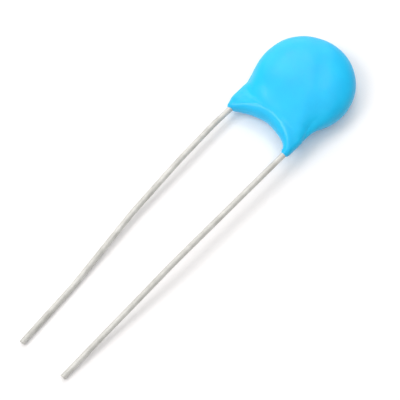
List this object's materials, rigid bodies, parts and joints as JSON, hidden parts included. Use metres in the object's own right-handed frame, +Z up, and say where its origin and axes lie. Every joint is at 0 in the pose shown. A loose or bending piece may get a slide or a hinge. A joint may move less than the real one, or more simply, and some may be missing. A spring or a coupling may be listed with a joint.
{
  "type": "ceramic disc capacitor",
  "caption": "Disc capacitor: a soldered ceramic disc in a glossy blue dipped epoxy coating that runs down onto long straight radial wire leads.",
  "frame": {"origin": "on the surface that the part lies on, under the middle of the disc", "axes": "+Z up, away from the surface; the leads run towards -Y; the front lead, soldered to the upper face, is on the +X side"},
  "size_m": [0.0106, 0.0445, 0.0036],
  "materials": {
    "epoxy": "glossy dipped epoxy",
    "ceramic": "matt fired ceramic",
    "silver_film": "matt fired silver",
    "tinned_wire": "satin tinned wire",
    "solder": "smooth solder"
  },
  "bodies": {
    "root": {"epoxy_coating": "epoxy", "ceramic_disc": "ceramic", "front_electrode": "silver_film", "back_electrode": "silver_film", "front_lead": "tinned_wire", "back_lead": "tinned_wire", "front_solder": "solder", "back_solder": "solder"}
  },
  "joints": []
}
